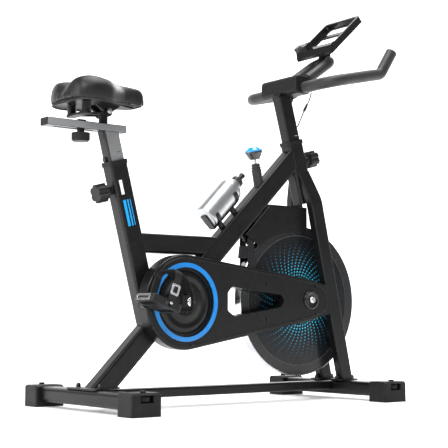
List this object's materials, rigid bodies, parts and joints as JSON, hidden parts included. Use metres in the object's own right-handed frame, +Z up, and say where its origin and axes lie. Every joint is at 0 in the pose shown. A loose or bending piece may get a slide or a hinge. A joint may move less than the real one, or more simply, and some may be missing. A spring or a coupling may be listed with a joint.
{
  "type": "exercise bike",
  "caption": "Belt-drive indoor exercise bike with a steel frame, heavy flywheel, knob-set magnetic resistance, adjustable saddle and handlebar, tablet holder and a bottle in its cage.",
  "frame": {"origin": "on the floor, under the middle of the bike's overall box", "axes": "+X forward towards the handlebar, +Y to the rider's left, +Z up"},
  "size_m": [1.1205, 0.552, 1.2131],
  "materials": {
    "black_paint": "satin",
    "black_plastic": "satin",
    "grip_foam": "matte",
    "gloss_black": "gloss",
    "blue_trim": "gloss",
    "wheel_steel": "polished",
    "disc_black": "gloss",
    "chrome": "polished",
    "steel": "brushed",
    "belt_rubber": "matte",
    "saddle_vinyl": "satin",
    "bottle_metal": "brushed",
    "cable_black": "satin",
    "bearing_steel": "polished"
  },
  "bodies": {
    "frame": {"main_tube": "black_paint", "head_tube": "black_paint", "seat_tube": "black_paint", "brace_tube": "black_paint", "bottom_bracket_shell": "black_paint", "fork_leg_right": "black_paint", "fork_leg_left": "black_paint", "base_tube": "black_paint", "rear_stabiliser": "black_paint", "front_stabiliser": "black_paint", "end_caps": "black_plastic", "belt_cover_outer": "black_plastic", "belt_cover_inner": "black_plastic", "cover_ring": "blue_trim", "ball_bearings": "bearing_steel", "flywheel_axle": "steel", "drive_belt": "belt_rubber", "flywheel_guard": "black_plastic", "resistance_sleeve": "black_plastic", "post_collars": "black_plastic", "bottle_cage": "black_paint", "fasteners": "steel"},
    "crank": {"crank_axle": "steel", "drive_pulley": "black_plastic", "crank_arms": "black_paint", "pedal_spindles": "steel"},
    "pedal_right_body": {"pedal_right": "black_plastic", "toe_cage_right": "black_plastic"},
    "pedal_left_body": {"pedal_left": "black_plastic", "toe_cage_left": "black_plastic"},
    "flywheel_body": {"flywheel": "wheel_steel", "flywheel_side_discs": "disc_black", "flywheel_pulley": "steel"},
    "magnets": {"magnet_yoke": "steel"},
    "resistance_push_rod": {"resistance_rod": "steel"},
    "resistance_dial": {"resistance_knob": "blue_trim"},
    "foot_rear_right": {"leveller_rear_right": "black_plastic"},
    "foot_rear_left": {"leveller_rear_left": "black_plastic"},
    "foot_front_right": {"leveller_front_right": "black_plastic"},
    "foot_front_left": {"leveller_front_left": "black_plastic"},
    "seat_mast": {"seat_post": "black_paint", "seat_rail": "black_paint"},
    "saddle_slider": {"saddle_carriage": "chrome"},
    "slider_clamp": {"slider_knob": "black_plastic"},
    "saddle": {"saddle_pad": "saddle_vinyl", "saddle_base": "black_plastic"},
    "seat_clamp": {"seat_post_knob": "black_plastic"},
    "bars": {"handlebar_post": "black_paint", "handlebar": "black_paint", "handlebar_grips": "grip_foam", "centre_cover": "black_plastic", "console_mount": "black_paint", "sensor_cable": "cable_black"},
    "bars_clamp": {"handlebar_post_knob": "black_plastic"},
    "console": {"tablet_holder": "gloss_black", "display": "gloss_black"},
    "console_button": {"display_button": "gloss_black"},
    "bottle": {"bottle_body": "bottle_metal", "bottle_lid": "black_plastic"},
    "drink_valve": {"bottle_valve": "black_plastic"}
  },
  "joints": [
    {"name": "flywheel_spin", "type": "hinge", "parent": "frame", "child": "flywheel_body", "pos_m": [0.321, 0, 0.302], "axis": [0, 1, 0], "continuous": true},
    {"name": "crank_spin", "type": "hinge", "parent": "frame", "child": "crank", "pos_m": [-0.146, 0, 0.291], "axis": [0, 1, 0], "continuous": true},
    {"name": "pedal_right_spin", "type": "hinge", "parent": "crank", "child": "pedal_right_body", "pos_m": [-0.29291, -0.145, 0.28587], "axis": [0, 1, 0], "continuous": true},
    {"name": "pedal_left_spin", "type": "hinge", "parent": "crank", "child": "pedal_left_body", "pos_m": [0.00091, 0.145, 0.29613], "axis": [0, 1, 0], "continuous": true},
    {"name": "resistance_turn", "type": "hinge", "parent": "resistance_push_rod", "child": "resistance_dial", "pos_m": [0.169, 0, 0.677], "axis": [-0.1908, 0, 0.9816], "range_deg": [0, 720]},
    {"name": "magnet_swing", "type": "hinge", "parent": "frame", "child": "magnets", "pos_m": [0.128, 0, 0.482], "axis": [0, 1, 0], "range_deg": [0, 6]},
    {"name": "resistance_push", "type": "slide", "parent": "frame", "child": "resistance_push_rod", "axis": [0.1908, 0, -0.9816], "range_m": [0, 0.008], "stiffness_N_per_m": 1500, "springref_m": -0.005},
    {"name": "foot_rear_right_turn", "type": "hinge", "parent": "frame", "child": "foot_rear_right", "pos_m": [-0.415, -0.2565, 0.03], "axis": [0, 0, 1], "range_deg": [-180, 180]},
    {"name": "foot_rear_left_turn", "type": "hinge", "parent": "frame", "child": "foot_rear_left", "pos_m": [-0.415, 0.2565, 0.03], "axis": [0, 0, 1], "range_deg": [-180, 180]},
    {"name": "foot_front_right_turn", "type": "hinge", "parent": "frame", "child": "foot_front_right", "pos_m": [0.481, -0.2455, 0.03], "axis": [0, 0, 1], "range_deg": [-180, 180]},
    {"name": "foot_front_left_turn", "type": "hinge", "parent": "frame", "child": "foot_front_left", "pos_m": [0.481, 0.2455, 0.03], "axis": [0, 0, 1], "range_deg": [-180, 180]},
    {"name": "seat_height", "type": "slide", "parent": "frame", "child": "seat_mast", "axis": [-0.2538, 0, 0.9673], "range_m": [0, 0.13]},
    {"name": "saddle_fore_aft", "type": "slide", "parent": "seat_mast", "child": "saddle_slider", "axis": [1, 0, 0], "range_m": [-0.06, 0.025]},
    {"name": "slider_clamp_turn", "type": "hinge", "parent": "saddle_slider", "child": "slider_clamp", "pos_m": [-0.449, 0, 0.74], "axis": [0, 0, 1], "range_deg": [-180, 180]},
    {"name": "saddle_tilt", "type": "hinge", "parent": "saddle_slider", "child": "saddle", "pos_m": [-0.378, 0, 0.808], "axis": [0, 1, 0], "range_deg": [-4, 8]},
    {"name": "seat_clamp_turn", "type": "hinge", "parent": "frame", "child": "seat_clamp", "pos_m": [-0.36046, 0, 0.59181], "axis": [-0.9673, 0, -0.2538], "range_deg": [-180, 180]},
    {"name": "bar_height", "type": "slide", "parent": "frame", "child": "bars", "axis": [-0.2689, 0, 0.9632], "range_m": [0, 0.09]},
    {"name": "bars_clamp_turn", "type": "hinge", "parent": "frame", "child": "bars_clamp", "pos_m": [0.36209, 0, 0.73734], "axis": [0.9632, 0, 0.2689], "range_deg": [-180, 180]},
    {"name": "console_tilt", "type": "hinge", "parent": "bars", "child": "console", "pos_m": [0.45, 0, 1.092], "axis": [0, 1, 0], "range_deg": [-12, 12]},
    {"name": "button_press", "type": "slide", "parent": "console", "child": "console_button", "axis": [0.6769, 0, -0.7361], "range_m": [0, 0.0015], "stiffness_N_per_m": 600, "springref_m": -0.0006},
    {"name": "bottle_lift", "type": "slide", "parent": "frame", "child": "bottle", "axis": [-0.7046, 0, 0.7096], "range_m": [0, 0.15]},
    {"name": "valve_pull", "type": "slide", "parent": "bottle", "child": "drink_valve", "axis": [0.7096, 0, 0.7046], "range_m": [0, 0.006]}
  ],
  "couplings": [
    {"joint": "crank_spin", "follows": "flywheel_spin", "ratio": 0.28},
    {"joint": "magnet_swing", "follows": "resistance_turn", "ratio": 0.00833}
  ]
}
